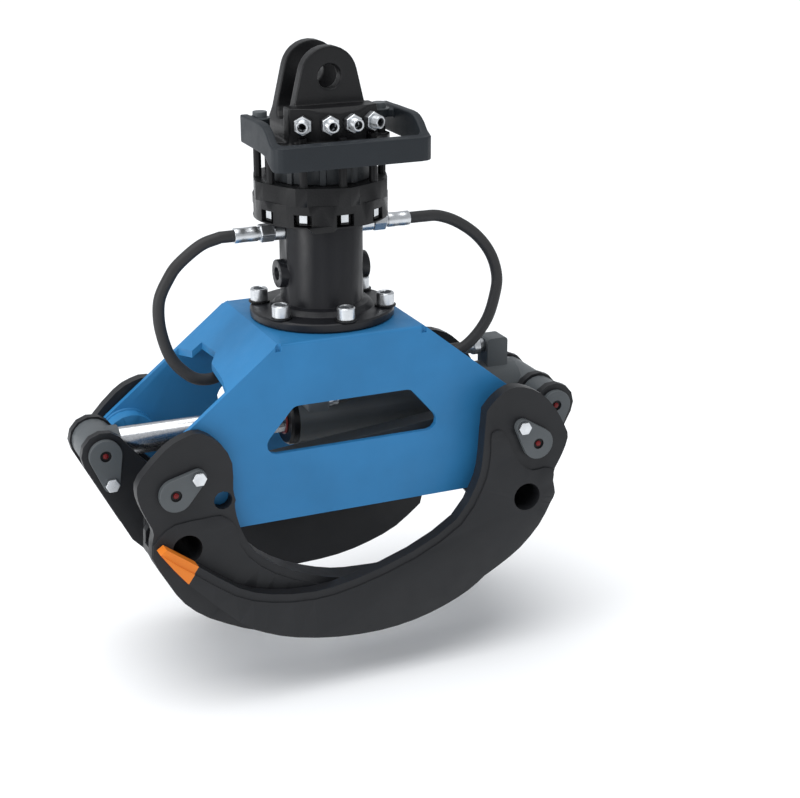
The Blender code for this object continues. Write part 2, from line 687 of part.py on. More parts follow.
RIGHT = {
    "name": "claw_right", "side": 1, "plate": RIGHT_PLATE, "flag_angle": 131.0,
    "belly": [(-274, -240), (-233, -271), (-180, -312), (-135, -330), (-75, -338), (-16, -331),
              (67, -306.5), (134, -270), (162, -227), (171, -199), (174.5, -159), (177.6, -119)],
    "head": [(177.6, -119), (192, -103), (212, -92), (233, -92.5), (259.5, -105), (282, -129),
             (299, -159), (304, -176), (295.5, -200), (285, -219)],
    "heel": [(285, -219), (282.4, -236), (286, -255), (279, -270), (262, -300), (233, -330),
             (203, -349.5), (178, -363)],
    "arm": [(178, -363), (154, -380), (115.6, -397), (70, -409.5), (19, -415), (-42, -412),
            (-101.5, -400.5), (-146, -384), (-182, -361), (-246.5, -295), (-282.5, -246)],
    "crown": [(184, -160), (186, -151), (195, -148), (206, -156), (219, -186), (231, -204),
              (249, -216), (268, -214.5), (281, -219)],
}
LEFT = {
    "name": "claw_left", "side": -1, "plate": LEFT_PLATE, "flag_angle": 147.0,
    "belly": [(-203, -298), (-160, -321), (-110, -335), (-55, -341), (-10, -340), (30, -336),
              (75, -322), (116, -302), (150, -273), (168, -237), (174.5, -207), (173, -197)],
    "head": [(173, -197), (176, -181), (176, -145), (190, -117), (215, -98), (240, -101),
             (264, -114), (297, -147), (303, -166), (299, -187), (288, -213)],
    "heel": [(288, -213), (284, -226), (288, -258), (268, -299), (247, -332), (215, -359),
             (169, -383)],
    "arm": [(169, -383), (115, -402), (60, -412), (5, -415), (-55, -411.5), (-105, -400),
            (-150, -382), (-190, -352)],
    "crown": [(172, -245), (178, -228), (193, -215), (214, -214.5), (256, -217), (275, -229),
              (281, -237)],
}


def claw_plates(claw):
    """The two curved outer plates, front and rear."""
    side, (inner, outer) = claw["side"], claw["plate"]
    outline = mirrored(claw_outline(claw), side)
    doubler = mirrored(doubler_outline(claw), side)
    pivot, cross = ((side * u, z) for u, z in (PIVOT, CROSS_TUBE))
    bolt = flag_bolt_place(claw, PIVOT, FLAG_REACH, claw["flag_angle"])
    near, far = THICK_ARM_INNER - 3.0, outer + DOUBLER_T + 5.0
    for face, label in ((-1, "front"), (1, "rear")):
        def span(a, b):
            return sorted((face * a, face * b))
        joins = [prism(doubler, "Y", *span(outer - 1, outer + DOUBLER_T))]
        cuts = [rod(PIVOT_PIN_R + GAP, "Y", pivot, *span(near, far)),
                rod(CROSS_TUBE_R + GAP, "Y", cross, *span(near, inner + GAP)),
                rod(CROSS_HOLE_R, "Y", cross, *span(near, far)),
                rod(FLAG_BOLT_R + GAP, "Y", bolt, *span(near, far))]
        if side > 0:
            arm_inner = inner
            joins.append(rod(HUB_R + 2, "Y", pivot, *span(FRAME_HALF_WIDTH + 1.5, inner + 1)))
        else:
            arm_inner = THICK_ARM_INNER
            access = (-TIE_PIN[0], TIE_PIN[1])
            cuts += [rod(ACCESS_HOLE_R, "Y", access, *span(near, far)),
                     box((-400.0, 400.0), span(near, inner), (THICK_ARM_TOP, 0.0))]
        solid(f"{claw['name']}_plate_{label}", CHARCOAL,
              prism(outline, "Y", *span(arm_inner, outer)), [(JOIN, joins), (CUT, cuts)],
              claw_pivot(claw))


def levers(claw):
    """Inner plates that carry the lever pin, on the cross tube."""
    side = claw["side"]
    lever = mirrored(link_outline(LEVER_PIN, LEVER_EYE_R, CROSS_TUBE, LEVER_ROOT_R, 5.0), side)
    lug = mirrored(link_outline(TIE_PIN, TIE_LUG_R, CROSS_TUBE, LEVER_ROOT_R - 4), side)
    pin, cross, tie = ((side * u, z) for u, z in (LEVER_PIN, CROSS_TUBE, TIE_PIN))
    bolt = flag_bolt_place(claw, LEVER_PIN, LEVER_FLAG_REACH, LEVER_FLAG_ANGLE)
    for number, (start, kind) in enumerate(LEVER_PLATES[claw["name"]], 1):
        span = (start, start + LEVER_T)
        wide = (start - 2, start + LEVER_T + 2)
        steps = [(CUT, [rod(CROSS_TUBE_R + GAP, "Y", cross, *wide)])]
        if kind != "lug":
            steps[0][1].append(rod(LEVER_PIN_R + GAP, "Y", pin, *wide))
        if kind in ("flag", "flag and lug"):
            steps[0][1].append(rod(FLAG_BOLT_R + GAP, "Y", bolt, *wide))
        if kind in ("lug", "flag and lug"):
            steps[0][1].append(rod(LEVER_PIN_R + GAP, "Y", tie, *wide))
        if kind == "flag and lug":
            steps.insert(0, (JOIN, [prism(lug, "Y", start, start + LEVER_T)]))
        outline = lug if kind == "lug" else lever
        solid(f"{claw['name']}_lever_{number}", CHARCOAL, prism(outline, "Y", *span), steps,
              claw_pivot(claw))


def cross_tube(claw):
    cross = (claw["side"] * CROSS_TUBE[0], CROSS_TUBE[1])
    reach = claw["plate"][0]
    solid(f"{claw['name']}_cross_tube", CHARCOAL,
          tube(CROSS_TUBE_R, CROSS_HOLE_R + 1, "Y", cross, -reach, reach), (), claw_pivot(claw))


def flag_bolt_place(claw, pin, reach, angle):
    radians = math.radians(angle)
    return (claw["side"] * (pin[0] + reach * math.cos(radians)),
            pin[1] + reach * math.sin(radians))


def flagged_pin(claw, name, pin, radius, bolt, face, seat, end, thickness, shank):
    """A pin welded to a flag plate, and the bolt that keeps the flag from turning."""
    centre = (claw["side"] * pin[0], pin[1])
    top = seat + face * (GAP + thickness)
    base = seat + face * GAP

    def span(a, b):
        return sorted((a, b))
    flag = link_outline(centre, FLAG_R, bolt, FLAG_END_R)
    recess = rod(GREASE_RECESS_R, "Y", centre, *span(top - face * GREASE_RECESS_DEPTH, top + face))
    solid(f"{claw['name']}_{name}", GREY, prism(flag, "Y", *span(base, top)),
          [(JOIN, [rod(radius, "Y", centre, *span(end, base + face))]),
           (CUT, [recess, rod(FLAG_BOLT_R + GAP, "Y", bolt, *span(base - face, top + face))])],
          claw_pivot(claw))
    head = turned([(9.8, top + face * GAP), (9.8, top + face * 5.5)], "Y", bolt, 6)
    solid(f"{claw['name']}_{name}_bolt", ZINC, head,
          [(JOIN, [rod(FLAG_BOLT_R, "Y", bolt, *span(seat - face * shank, top + face))])],
          claw_pivot(claw))


def claw_pins(claw):
    outer = claw["plate"][1]
    bolt = flag_bolt_place(claw, PIVOT, FLAG_REACH, claw["flag_angle"])
    flagged_pin(claw, "pivot_front", PIVOT, PIVOT_PIN_R, bolt, -1, -outer, HUB_FRONT - GAP,
                FLAG_T, 14.0)
    flagged_pin(claw, "pivot_rear", PIVOT, PIVOT_PIN_R, bolt, 1, outer, HUB_REAR + GAP,
                FLAG_T, 14.0)
    starts = [start for start, kind in LEVER_PLATES[claw["name"]] if kind != "lug"]
    lever_bolt = flag_bolt_place(claw, LEVER_PIN, LEVER_FLAG_REACH, LEVER_FLAG_ANGLE)
    flagged_pin(claw, "lever_pin", LEVER_PIN, LEVER_PIN_R, lever_bolt, -1, min(starts),
                max(starts) + LEVER_T, FLAG_T - 1, 10.0)


def tie_pins():
    """Pin stubs in the two lug plates of the left claw."""
    centre = (-TIE_PIN[0], TIE_PIN[1])
    lugs = [start for start, kind in LEVER_PLATES["claw_left"] if "lug" in kind]
    for name, start in zip(("front", "rear"), lugs):
        solid(f"claw_left_tie_pin_{name}", GREY,
              rod(LEVER_PIN_R, "Y", centre, start, start + LEVER_T), (), claw_pivot(LEFT))


# Cylinder and tie rod

def barrel():
    """Cylinder tube with its eye, the port block and the gland's port."""
    eye = (LEVER_PIN[0], LEVER_PIN[1])
    axis = (CYLINDER_Y, LEVER_PIN[1])
    pivot = (LEVER_PIN[0], CYLINDER_Y, LEVER_PIN[1])
    block = rounded([(254.0, -120.0), (286.0, -120.0), (286.0, -72.0), (254.0, -72.0)], 5.0)
    port = rounded([(-38.0, -126.0), (-8.0, -126.0), (-8.0, -102.0), (-38.0, -102.0)], 4.0)
    joins = [rod(BARREL_EYE_R, "Y", eye, CYLINDER_Y - BARREL_R, CYLINDER_Y + BARREL_R),
             prism(block, "Y", 2.0, 34.0),
             prism(port, "Y", -42.0, 0.0)]
    cuts = [rod(CYLINDER_BORE_R, "X", axis, GLAND_X - 10, BORE_END_X),
            rod(LEVER_PIN_R + GAP, "Y", eye, -40.0, 80.0),
            rod(FITTING_STUB_R + GAP, "X", (CYLINDER_Y, BLOCK_PORT_Z), 250.0, 268.0),
            rod(FITTING_STUB_R + GAP, "X", (GLAND_PORT[0], GLAND_PORT[1]), -20.0, 0.0)]
    solid("cylinder_barrel", GREY, rod(BARREL_R, "X", axis, GLAND_X, LEVER_PIN[0] - 16.0),
          [(JOIN, joins), (CUT, cuts)], pivot)
    gland = [(BARREL_R - 1, GLAND_X - GAP), (BARREL_R - 1, GLAND_X - 8), (BARREL_R - 4, GLAND_X - 12),
             (ROD_R + GAP, GLAND_X - 12), (ROD_R + GAP, GLAND_X + 25),
             (CYLINDER_BORE_R - GAP, GLAND_X + 25), (CYLINDER_BORE_R - GAP, GLAND_X - GAP)]
    solid("cylinder_gland", BLACK, turned(gland, "X", axis, hollow=True), (), pivot)


def cylinder_fittings():
    """Fittings of the two cylinder ports, one facing left and one right."""
    pivot = (LEVER_PIN[0], CYLINDER_Y, LEVER_PIN[1])
    block = [(FITTING_STUB_R, 266.0), (FITTING_STUB_R, 254.0 - GAP), (10.0, 254.0 - GAP),
             (10.0, 247.0), (12.5, 246.0), (12.5, 236.0), (10.0, 235.0), (10.0, 225.0)]
    solid("block_fitting", ZINC, turned(block, "X", (CYLINDER_Y, BLOCK_PORT_Z), 12), (), pivot)
    gland = [(FITTING_STUB_R, -18.0), (FITTING_STUB_R, -8.0 + GAP), (10.0, -8.0 + GAP),
             (10.0, -1.0), (9.0, 0.0), (9.0, 8.0)]
    solid("gland_fitting", ZINC, turned(gland, "X", GLAND_PORT, 12), (), pivot)


def piston_rod():
    """Chrome rod with its piston inside the tube, and the eye screwed on it."""
    pin = (-LEVER_PIN[0], LEVER_PIN[1])
    axis = (CYLINDER_Y, LEVER_PIN[1])
    pivot = (-LEVER_PIN[0], CYLINDER_Y, LEVER_PIN[1])
    seat = -LEVER_PIN[0] + ROD_EYE_R
    profile = [(ROD_R - 6, seat - 8), (ROD_R - 6, seat + GAP), (ROD_R, seat + GAP),
               (ROD_R, 4.0), (CYLINDER_BORE_R - 2 * GAP, 4.0), (CYLINDER_BORE_R - 2 * GAP, 26.0)]
    solid("cylinder_rod", CHROME, turned(profile, "X", axis), (), pivot)
    collar = rod(ROD_R + 4, "X", axis, -LEVER_PIN[0] + 14, seat)
    socket = rod(ROD_R - 6 + GAP, "X", axis, seat - 9, seat + 9)
    solid("cylinder_rod_eye", GREY,
          rod(ROD_EYE_R, "Y", pin, CYLINDER_Y - ROD_EYE_W / 2, CYLINDER_Y + ROD_EYE_W / 2),
          [(JOIN, [collar]),
           (CUT, [socket, rod(LEVER_PIN_R + GAP, "Y", pin, -40.0, 80.0)])], pivot)


def tie_rod():
    """Flat bar with a boss at each end, from the right lever pin to the left claw."""
    right = LEVER_PIN
    left = (-TIE_PIN[0], TIE_PIN[1])
    along = Vector(right) - Vector(left)
    across = Vector((-along.y, along.x)).normalized() * TIE_ROD_HEIGHT / 2
    ends = [Vector(left), Vector(right)]
    bar = [ends[0] - across, ends[1] - across, ends[1] + across, ends[0] + across]
    joins = [rod(TIE_EYE_R, "Y", right, *TIE_EYE_Y), rod(TIE_EYE_R - 2, "Y", left, *TIE_EYE_Y)]
    cuts = [rod(LEVER_PIN_R + GAP, "Y", centre, -90.0, -20.0) for centre in (left, right)]
    solid("tie_rod", GREY, prism([tuple(point) for point in bar], "Y", *TIE_ROD_Y),
          [(JOIN, joins), (CUT, cuts)], (right[0], 0.0, right[1]))


def build():
    for leftover in list(bpy.data.objects):
        bpy.data.objects.remove(leftover)
    link_head()
    adapters()
    hose_guard()
    motor_body()
    stator_ring()
    rotor_shaft()
    flange_bolts()
    frame()
    rotor_fittings()
    hose("hose_left", LEFT_HOSE)
    hose("hose_right", RIGHT_HOSE)
    for claw in (RIGHT, LEFT):
        claw_plates(claw)
        levers(claw)
        cross_tube(claw)
        claw_pins(claw)
    tie_pins()
    barrel()
    cylinder_fittings()
    hose("hose_block", BLOCK_HOSE)
    hose("hose_gland", GLAND_HOSE)
    piston_rod()
    tie_rod()


build()
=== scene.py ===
"""Looks of a timber grapple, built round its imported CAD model.

Lengths are in millimetres and heights are over the top face of the folded frame, as in the
CAD source; world() turns them into metres below the link pin.
"""
import json
import math
from collections import namedtuple

import bmesh
import bpy
from mathutils import Euler, Matrix, Vector

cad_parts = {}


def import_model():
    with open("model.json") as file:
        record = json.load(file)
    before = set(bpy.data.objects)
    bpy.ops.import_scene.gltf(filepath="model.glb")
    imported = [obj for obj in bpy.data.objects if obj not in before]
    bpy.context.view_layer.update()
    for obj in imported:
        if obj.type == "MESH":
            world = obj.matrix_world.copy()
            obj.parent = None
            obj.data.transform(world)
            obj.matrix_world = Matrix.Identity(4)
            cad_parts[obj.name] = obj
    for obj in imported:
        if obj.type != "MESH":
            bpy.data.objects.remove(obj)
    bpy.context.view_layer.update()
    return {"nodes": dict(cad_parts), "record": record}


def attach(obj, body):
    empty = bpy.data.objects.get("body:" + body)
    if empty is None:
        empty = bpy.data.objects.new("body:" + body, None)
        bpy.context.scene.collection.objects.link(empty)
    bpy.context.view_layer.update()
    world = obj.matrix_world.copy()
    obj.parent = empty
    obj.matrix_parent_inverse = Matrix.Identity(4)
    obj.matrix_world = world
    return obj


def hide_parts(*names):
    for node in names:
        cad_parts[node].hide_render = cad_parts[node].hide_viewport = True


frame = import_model()

MM = 0.001
LINK_HEIGHT = 325.0
FLOOR_HEIGHT = -487.0
FLOOR_REACH = 40000.0

CAMERA_PLACE = (-0.7891, -2.0532, 0.3437)
CAMERA_TURN = (70.137, 0.0, -23.78)
CAMERA_LENS = 75.88

# Places and radii that the CAD model has too
HOSE_PORT_HEIGHT = 119.5
SHAFT_FLAT = 53.5
FLANGE_T = 13.0
FLANGE_BOLT_CIRCLE_R = 86.5
ADAPTER_HEIGHT = 270.0
PORT_FACETS = ((-61.0, -53.0), (-29.0, -68.5), (2.0, -72.0), (31.0, -69.5), (58.0, -59.0))
PIVOT = (254.0, -175.0)
LEVER_PIN = (316.0, -150.0)
CROSS_TUBE = (241.0, -254.0)
CYLINDER_Y = 18.0
CROSS_TUBE_R = 26.0
LEVER_STARTS = {"claw_right": (-87.0, -36.0, 60.0), "claw_left": (-87.0, -21.3, 45.3)}
LEVER_T = 12.0
FRAME_INNER = 101.0
HUB_R = 38.0
TUBE_WELD = 4.0
HUB_WELD = 3.0

TIP_LINE = ((-251.5, -297.0), (-233.0, -271.0))
TIE_BOLT_ANGLES = [18.0 + 36.0 * number for number in range(10)]
POCKET_HEIGHT = 150.2
GUARD_POSTS = ((-84.0, -7.0), (83.0, -5.0))
GUARD_TAB_TOP = 272.0
GREASE_RECESS_DEPTH = 3.0
GREASE_RECESS_R = 7.5
GLAND_FACE = -54.2
FLAG_R = 22.0
FLAG_END_R = 11.0
FLAG_EDGE = 0.5
# The bolt's reach and angle are from the pin, top is the flag's outer face along Y
Flag = namedtuple("Flag", "node pin bolt_reach bolt_angle pin_r top thickness")
FLAGS = (
    Flag("claw_right_pivot_front", PIVOT, 36.0, 131.0, 17.0, -158.3, 8.0),
    Flag("claw_right_pivot_rear", PIVOT, 36.0, 131.0, 17.0, 158.3, 8.0),
    Flag("claw_right_lever_pin", LEVER_PIN, 41.0, -98.0, 15.0, -94.3, 7.0),
    Flag("claw_left_pivot_front", PIVOT, 36.0, 147.0, 17.0, -135.8, 8.0),
    Flag("claw_left_pivot_rear", PIVOT, 36.0, 147.0, 17.0, 135.8, 8.0),
    Flag("claw_left_lever_pin", LEVER_PIN, 41.0, -98.0, 15.0, -28.6, 7.0))

# Side of the shaft, and where the nut, the ferrule and the hose begin along X
HOSE_FITTINGS = {"left": (-1, 69.0, 90.0, 122.7), "right": (1, 74.0, 95.0, 128.0)}
HOSE_R = 8.0
HOSE_ROUTES = {
    "hose_left": (
        (-123.0, 0.0, 119.5), (-141.0, 0.0, 119.5), (-168.0, 0.0, 111.5), (-198.7, 0.0, 89.5),
        (-213.4, 0.0, 71.0), (-225.7, 0.0, 46.8), (-228.4, 0.0, 21.3), (-225.0, 0.0, -5.0),
        (-217.0, -3.0, -32.0), (-203.0, -7.0, -52.0), (-184.0, -11.0, -66.0),
        (-160.0, -9.0, -69.0), (-136.0, 2.0, -63.0), (-112.0, 22.0, -56.5), (-90.0, 45.0, -58.0),
        (-66.0, 66.0, -68.0), (-40.0, 80.0, -82.0), (-10.0, 88.0, -93.0), (22.0, 88.0, -99.0),
        (50.0, 81.0, -99.0), (69.6, 70.6, -90.4), (78.0, 64.0, -85.0)),
    "hose_right": (
        (128.3, 0.0, 119.5), (148.0, 0.0, 119.5), (173.0, 0.0, 118.0), (201.0, -4.0, 107.0),
        (229.0, -8.0, 86.0), (249.0, -12.0, 58.0), (257.0, -16.0, 27.0), (252.0, -20.0, 0.0),
        (239.0, -24.0, -31.0), (217.0, -28.0, -55.0), (194.0, -30.0, -69.0), (166.0, -30.0, -76.0),
        (140.0, -30.0, -71.0), (121.0, -30.0, -66.0), (109.0, -30.0, -66.0)),
    "hose_block": (
        (78.3, 63.8, -84.8), (86.7, 57.2, -79.4), (104.0, 45.0, -73.0), (130.0, 31.0, -72.0),
        (160.0, 22.0, -77.5), (190.0, 18.5, -83.0), (212.0, 18.0, -84.5), (224.7, 18.0, -84.5)),
    "hose_gland": (
        (108.6, -30.0, -66.0), (98.0, -30.0, -66.0), (80.0, -30.0, -71.0), (61.0, -30.0, -83.0),
        (44.0, -30.0, -98.0), (28.0, -30.0, -109.5), (17.0, -30.0, -114.0), (8.3, -30.0, -114.0)),
}


def world(point):
    return Vector((point[0], point[1], point[2] - LINK_HEIGHT)) * MM


# Camera and light

def camera():
    data = bpy.data.cameras.new("camera")
    data.lens = CAMERA_LENS
    data.sensor_width = 36.0
    data.sensor_fit = "HORIZONTAL"
    data.clip_start, data.clip_end = 0.05, 50.0
    made = bpy.data.objects.new("camera", data)
    made.location = CAMERA_PLACE
    made.rotation_euler = Euler([math.radians(angle) for angle in CAMERA_TURN])
    bpy.context.scene.collection.objects.link(made)
    bpy.context.scene.camera = made


def area_light(name, place, aim, size, power):
    data = bpy.data.lights.new(name, "AREA")
    data.shape = "DISK"
    data.size = size
    data.energy = power
    made = bpy.data.objects.new(name, data)
    made.location = place
    made.rotation_euler = (Vector(aim) - Vector(place)).to_track_quat("-Z", "Y").to_euler()
    bpy.context.scene.collection.objects.link(made)


def studio():
    """A pale floor, an even pale surround, a wide soft sun and a soft lamp on the left."""
    surround = bpy.data.worlds.new("surround")
    surround.use_nodes = True
    sky = surround.node_tree.nodes["Background"]
    sky.inputs["Color"].default_value = (0.95, 0.97, 1.0, 1.0)
    sky.inputs["Strength"].default_value = 0.6
    bpy.context.scene.world = surround
    bpy.context.scene.view_settings.view_transform = "Standard"
    overhead = bpy.data.lights.new("overhead", "SUN")
    overhead.energy = 2.1
    overhead.angle = math.radians(60)
    lamp = bpy.data.objects.new("overhead", overhead)
    lamp.rotation_euler = (math.radians(4), math.radians(-10), 0.0)
    bpy.context.scene.collection.objects.link(lamp)
    area_light("left_strip", (-2.6, -0.5, 0.3), (0.0, 0.0, -0.4), 1.2, 26.0)
    floor = plane("floor", FLOOR_REACH * MM, world((0.0, 0.0, FLOOR_HEIGHT)).z)
    floor.data.materials.append(floor_finish())


def plane(name, reach, height):
    data = bpy.data.meshes.new(name)
    corners = [(-reach, -reach, height), (reach, -reach, height),
               (reach, reach, height), (-reach, reach, height)]
    data.from_pydata(corners, [], [(0, 1, 2, 3)])
    made = bpy.data.objects.new(name, data)
    bpy.context.scene.collection.objects.link(made)
    return made


# Materials

class Nodes:
    """A material's node tree, with short calls for what every finish uses."""

    def __init__(self, name):
        self.material = bpy.data.materials.new(name)
        self.material.use_nodes = True
        self.tree = self.material.node_tree
        self.shader = self.tree.nodes["Principled BSDF"]
        self.place = self.add("ShaderNodeTexCoord").outputs["Object"]

    def add(self, kind, **values):
        node = self.tree.nodes.new(kind)
        for name, value in values.items():
            setattr(node, name, value)
        return node

    def join(self, source, target):
        self.tree.links.new(source, target)

    def set(self, **values):
        for name, value in values.items():
            self.shader.inputs[name.replace("_", " ")].default_value = value

    def noise(self, scale, detail=4.0, roughness=0.55):
        node = self.add("ShaderNodeTexNoise")
        node.inputs["Scale"].default_value = scale
        node.inputs["Detail"].default_value = detail
        node.inputs["Roughness"].default_value = roughness
        self.join(self.place, node.inputs["Vector"])
        return node.outputs["Fac"]

    def ramp(self, source, *stops):
        """Colours, or grey values, at places between 0 and 1."""
        node = self.add("ShaderNodeValToRGB")
        elements = node.color_ramp.elements
        while len(elements) < len(stops):
            elements.new(0.5)
        for element, (place, value) in zip(elements, stops):
            element.position = place
            rgb = value if isinstance(value, tuple) else (value, value, value)
            element.color = (*rgb, 1.0)
        self.join(source, node.inputs["Fac"])
        return node.outputs["Color"]

    def bump(self, source, strength, distance):
        node = self.add("ShaderNodeBump")
        node.inputs["Strength"].default_value = strength
        node.inputs["Distance"].default_value = distance
        self.join(source, node.inputs["Height"])
        if self.shader.inputs["Normal"].is_linked:
            self.join(self.shader.inputs["Normal"].links[0].from_socket, node.inputs["Normal"])
        self.join(node.outputs["Normal"], self.shader.inputs["Normal"])


def shade(colour, factor):
    return tuple(min(1.0, part * factor) for part in colour)


def painted(name, colour, gloss, grain, depth):
    """Sprayed paint: slow changes of tone, a fine orange peel and uneven gloss."""
    nodes = Nodes(name)
    tone = nodes.ramp(nodes.noise(9.0), (0.3, shade(colour, 0.9)), (0.7, shade(colour, 1.1)))
    nodes.join(tone, nodes.shader.inputs["Base Color"])
    sheen = nodes.ramp(nodes.noise(40.0), (0.3, gloss - 0.05), (0.7, gloss + 0.07))
    nodes.join(sheen, nodes.shader.inputs["Roughness"])
    nodes.bump(nodes.noise(grain), 0.35, depth)
    nodes.set(Specular_IOR_Level=0.25)
    return nodes.material


def metal(name, colour, gloss, scratch):
    """Plated or ground metal with a fine grain in its gloss."""
    nodes = Nodes(name)
    nodes.set(Metallic=1.0)
    tone = nodes.ramp(nodes.noise(60.0), (0.3, shade(colour, 0.88)), (0.7, shade(colour, 1.08)))
    nodes.join(tone, nodes.shader.inputs["Base Color"])
    sheen = nodes.ramp(nodes.noise(scratch), (0.25, gloss - 0.06), (0.75, gloss + 0.1))
    nodes.join(sheen, nodes.shader.inputs["Roughness"])
    nodes.bump(nodes.noise(scratch), 0.08, 0.0002)
    return nodes.material


def floor_finish():
    nodes = Nodes("pale_floor")
    tone = nodes.ramp(nodes.noise(1.5), (0.3, (0.93, 0.94, 0.95)), (0.7, (0.95, 0.955, 0.96)))
    nodes.join(tone, nodes.shader.inputs["Base Color"])
    nodes.set(Roughness=0.9)
    return nodes.material


def finishes():
    """Every finish by the name of its slot in the record, and a few for small trim."""
    return {
        "black_paint": painted("black_paint", (0.0072, 0.0074, 0.0082), 0.36, 420.0, 0.0008),
        "slate_casting": painted("slate_casting", (0.0155, 0.0195, 0.024), 0.5, 420.0, 0.0008),
        "charcoal_paint": painted("charcoal_paint", (0.0138, 0.0146, 0.0166), 0.42, 700.0, 0.0002),
        "tipped_paint": tipped("tipped_paint", (0.0138, 0.0146, 0.0166), (0.7, 0.19, 0.02)),
        "blue_paint": painted("blue_paint", (0.024, 0.17, 0.38), 0.45, 700.0, 0.0002),
        "shaft_paint": painted("shaft_paint", (0.0125, 0.013, 0.0155), 0.34, 500.0, 0.0003),
        "motor_paint": painted("motor_paint", (0.024, 0.0275, 0.031), 0.45, 500.0, 0.0003),
        "grey_paint": painted("grey_paint", (0.081, 0.09, 0.096), 0.4, 700.0, 0.0002),
        "zinc_plate": metal("zinc_plate", (0.62, 0.64, 0.66), 0.3, 900.0),
        "chrome": metal("chrome", (0.6, 0.61, 0.63), 0.24, 1500.0),
        "hose_rubber": painted("hose_rubber", (0.03, 0.03, 0.031), 0.48, 900.0, 0.0003),
        "red_cap": painted("red_cap", (0.13, 0.006, 0.007), 0.3, 900.0, 0.0002),
        # Near-black paint that lines the grease recesses as painted shade
        "recess_shade_paint": painted("recess_shade_paint", (0.008, 0.008, 0.009), 0.5, 900.0, 0.0002),
    }


def tipped(name, colour, tip_colour):
    """The claws' paint, orange beyond a line near the point of the claw."""
    made = painted(name, colour, 0.42, 700.0, 0.0002)
    tree = made.node_tree
    shader = tree.nodes["Principled BSDF"]
    place = tree.nodes["Texture Coordinate"].outputs["Object"]
    across = tree.nodes.new("ShaderNodeVectorMath")
    across.operation = "DOT_PRODUCT"
    start, end = (world((x, 0.0, z)) for x, z in TIP_LINE)
    normal = Vector((start.z - end.z, 0.0, end.x - start.x)).normalized()
    across.inputs[1].default_value = normal
    tree.links.new(place, across.inputs[0])
    beyond = tree.nodes.new("ShaderNodeMath")
    beyond.operation = "GREATER_THAN"
    beyond.inputs[1].default_value = normal.dot(start)
    tree.links.new(across.outputs["Value"], beyond.inputs[0])
    mix = tree.nodes.new("ShaderNodeMix")
    mix.data_type = "RGBA"
    colours = [socket for socket in mix.inputs if socket.type == "RGBA"]
    tree.links.new(beyond.outputs[0], mix.inputs["Factor"])
    tree.links.new(shader.inputs["Base Color"].links[0].from_socket, colours[0])
    colours[1].default_value = (*tip_colour, 1.0)
    mixed = [socket for socket in mix.outputs if socket.type == "RGBA"][0]
    tree.links.new(mixed, shader.inputs["Base Color"])
    return made


# Meshes

def circle(centre, radius, sides, turn=0.0):
    step = 2 * math.pi / sides
    return [(centre[0] + radius * math.cos(step * i + turn),
             centre[1] + radius * math.sin(step * i + turn)) for i in range(sides)]


def placed(u, v, w, axis):
    return {"X": (w, u, v), "Y": (u, w, v), "Z": (u, v, w)}[axis]


def lofted(outlines, axis, hollow=False):
    """A skin over outlines of as many points each, given as (points, position along the axis).

    A hollow one closes from the last outline to the first, any other has a face at each end.
    """
    mesh = bmesh.new()
    rings = [[mesh.verts.new(placed(u, v, w, axis)) for u, v in outline]
             for outline, w in outlines]
    pairs = list(zip(rings, rings[1:]))
    if hollow:
        pairs.append((rings[-1], rings[0]))
    else:
        mesh.faces.new(rings[0])
        mesh.faces.new(rings[-1])
    for low, high in pairs:
        for i in range(len(low)):
            j = (i + 1) % len(low)
            mesh.faces.new((low[i], low[j], high[j], high[i]))
    bmesh.ops.recalc_face_normals(mesh, faces=mesh.faces)
    return mesh


def turned(profile, axis, centre=(0.0, 0.0), sides=64, hollow=False, turn=0.0):
    """A profile of (radius, position) turned round an axis, in millimetres."""
    outlines = [(circle(centre, radius, sides, turn), w) for radius, w in profile]
    return lofted(outlines, axis, hollow)


def joined(*meshes):
    """Several meshes as one; each stays a closed shell."""
    whole = bmesh.new()
    for mesh in meshes:
        data = bpy.data.meshes.new("part")
        mesh.to_mesh(data)
        mesh.free()
        whole.from_mesh(data)
        bpy.data.meshes.remove(data)
    return whole


def swung(mesh, angle, centre=(0.0, 0.0, 0.0), axis="Z"):
    turn = Matrix.Rotation(math.radians(angle), 4, axis)
    bmesh.ops.rotate(mesh, cent=centre, matrix=turn, verts=mesh.verts)
    return mesh


def shifted(mesh, by):
    bmesh.ops.translate(mesh, vec=by, verts=mesh.verts)
    return mesh


def smooth(points, steps):
    """Points on a Catmull-Rom curve through the given ones."""
    given = [Vector(p) for p in points]
    line = [given[0] * 2 - given[1], *given, given[-1] * 2 - given[-2]]
    curve = []
    for before, a, b, after in zip(line, line[1:], line[2:], line[3:]):
        for i in range(steps):
            t = i / steps
            curve.append(0.5 * (2 * a + (b - before) * t
                                + (2 * before - 5 * a + 4 * b - after) * t ** 2
                                + (3 * a - before - 3 * b + after) * t ** 3))
    return [*curve, given[-1]]


# Pieces

FINISHES = finishes()
SHARP = math.radians(32)
SAME_PLANE = math.radians(0.6)
SAME_PLACE = 0.002
PLATE_EDGE = 0.3
EDGE = 0.8
NODE_FINISHES = {"claw_right_plate_front": "tipped_paint", "claw_right_plate_rear": "tipped_paint",
                 "rotor_shaft": "shaft_paint", "motor_body": "motor_paint"}
SLOTS = {part["node"]: part["material_slot"] for part in frame["record"]["subparts"]}
BODIES = {node: body for body, nodes in frame["record"]["behaviour"]["bodies"].items()
          for node in nodes}


def add_piece(name, data, slot, body):
    data.shade_smooth()
    data.set_sharp_from_angle(angle=SHARP)
    data.materials.clear()
    data.materials.append(FINISHES[slot])
    piece = bpy.data.objects.new(name, data)
    bpy.context.scene.collection.objects.link(piece)
    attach(piece, body)
    return piece


